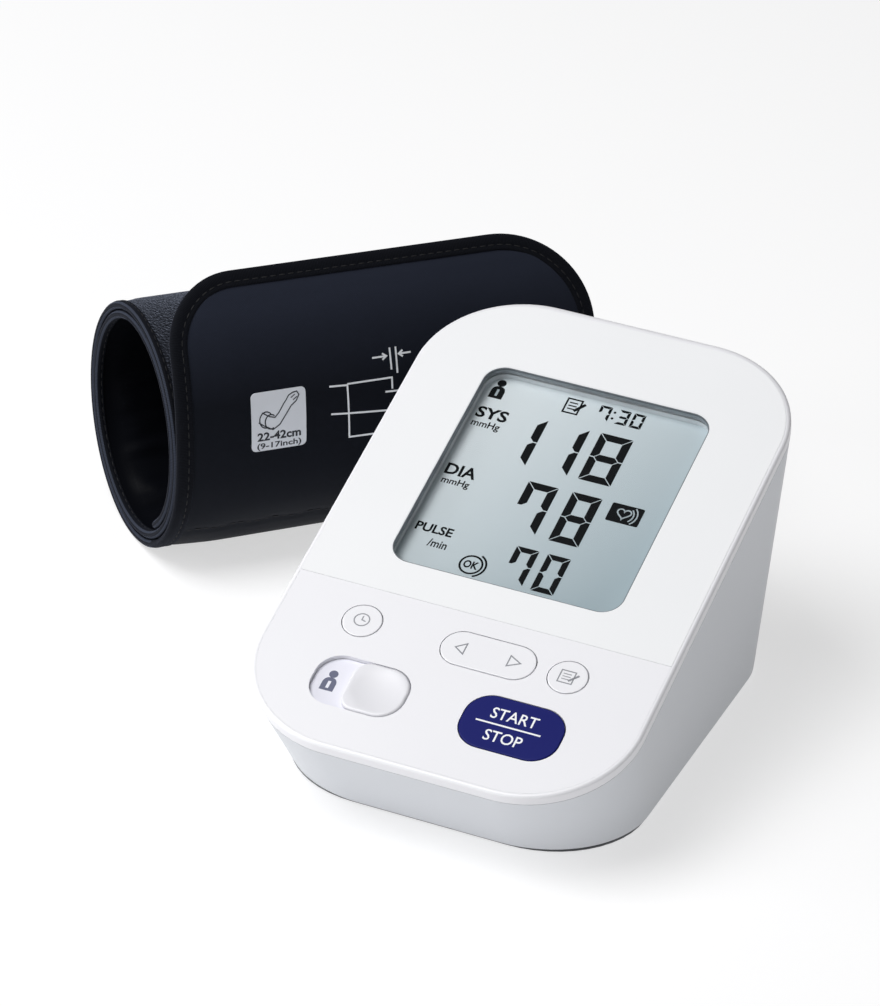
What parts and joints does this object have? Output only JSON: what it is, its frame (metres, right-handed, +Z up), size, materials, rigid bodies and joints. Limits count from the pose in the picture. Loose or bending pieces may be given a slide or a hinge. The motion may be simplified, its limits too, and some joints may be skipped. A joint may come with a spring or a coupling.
{
  "type": "digital blood pressure monitor",
  "caption": "Desk-top blood pressure monitor with a sloping display, press keys, a rocker key, a user slide switch and a battery cover, beside its rolled upper-arm cuff.",
  "frame": {"origin": "middle of the set's footprint (monitor and cuff) on the table", "axes": "+X to the monitor's right, +Y to its back, +Z up; the monitor faces -Y"},
  "size_m": [0.211, 0.232, 0.0873],
  "materials": {
    "case_plastic": "fine satin white",
    "panel_plastic": "satin white",
    "key_plastic": "satin white",
    "start_plastic": "satin navy blue",
    "clear_window": "clear, polished",
    "display_glass": "grey-green liquid crystal display",
    "frame_plastic": "satin light grey",
    "strip_rubber": "matt",
    "board_laminate": "green solder mask",
    "screw_steel": "zinc plated",
    "switch_plastic": "matt black",
    "foot_rubber": "matt grey",
    "cell_wrap": "plain wrap",
    "contact_steel": "nickel plated",
    "motor_steel": "zinc plated",
    "pump_plastic": "matt black",
    "sleeve_rubber": "matt black foam rubber",
    "tube_silicone": "translucent, soft",
    "socket_plastic": "matt dark grey",
    "cuff_nylon": "napped navy black cloth",
    "cuff_tape": "woven black tape",
    "cuff_lining": "smooth black cloth",
    "bladder_film": "soft black film",
    "curler_sheet": "springy sheet",
    "label_print": "printed white patch",
    "hook_tape": "stiff hook tape",
    "port_plastic": "matt black"
  },
  "bodies": {
    "case": {"lower_case": "case_plastic", "upper_case": "case_plastic", "display_panel": "panel_plastic", "key_panel": "panel_plastic", "window_lens": "clear_window", "slider_plate": "frame_plastic", "lcd_holder": "frame_plastic", "lcd_glass": "display_glass", "contact_strips": "strip_rubber", "main_board": "board_laminate", "board_screws": "screw_steel", "key_switches": "switch_plastic", "slide_switch": "switch_plastic", "case_screws": "screw_steel", "rubber_feet": "foot_rubber", "battery_box": "frame_plastic", "cell_1": "cell_wrap", "cell_2": "cell_wrap", "cell_3": "cell_wrap", "cell_4": "cell_wrap", "battery_springs": "contact_steel", "battery_plates": "contact_steel", "pump_motor": "motor_steel", "pump_head": "pump_plastic", "pump_sleeve": "sleeve_rubber", "air_manifold": "frame_plastic", "release_valve": "pump_plastic", "pressure_sensor": "switch_plastic", "air_tubes": "tube_silicone", "buzzer": "switch_plastic", "air_jack": "socket_plastic", "power_jack": "socket_plastic"},
    "clock_key": {"clock_button": "key_plastic"},
    "memory_key": {"memory_button": "key_plastic"},
    "arrow_key": {"arrow_rocker": "key_plastic"},
    "start_key": {"start_button": "start_plastic"},
    "user_switch": {"user_slider": "key_plastic"},
    "bay_cover": {"battery_cover": "case_plastic"},
    "cuff": {"cuff_edging": "cuff_tape", "cuff_cloth": "cuff_nylon", "cuff_curler": "curler_sheet", "cuff_bladder": "bladder_film", "cuff_liner": "cuff_lining", "cuff_label": "label_print", "cuff_hooks": "hook_tape", "cuff_port": "port_plastic"}
  },
  "joints": [
    {"name": "clock_press", "type": "slide", "parent": "case", "child": "clock_key", "axis": [0, 0.353, -0.9356], "range_m": [0, 0.0008], "stiffness_N_per_m": 1500, "springref_m": -0.0002},
    {"name": "memory_press", "type": "slide", "parent": "case", "child": "memory_key", "axis": [0, 0.353, -0.9356], "range_m": [0, 0.0008], "stiffness_N_per_m": 1500, "springref_m": -0.0002},
    {"name": "start_press", "type": "slide", "parent": "case", "child": "start_key", "axis": [0, 0.353, -0.9356], "range_m": [0, 0.0008], "stiffness_N_per_m": 1500, "springref_m": -0.0002},
    {"name": "arrow_rock", "type": "hinge", "parent": "case", "child": "arrow_key", "pos_m": [0.05896, -0.07581, 0.03608], "axis": [0, 0.9356, 0.353], "range_deg": [-1.7, 1.7], "stiffness_Nm_per_rad": 0.06},
    {"name": "user_select", "type": "slide", "parent": "case", "child": "user_switch", "axis": [-1, 0, 0], "range_m": [0, 0.00705]},
    {"name": "cover_slide", "type": "slide", "parent": "case", "child": "bay_cover", "axis": [0, 1, 0], "range_m": [0, 0.066]},
    {"name": "cuff_lift", "type": "slide", "parent": "case", "child": "cuff", "axis": [0, 0, 1], "range_m": [0, 0.25]}
  ]
}
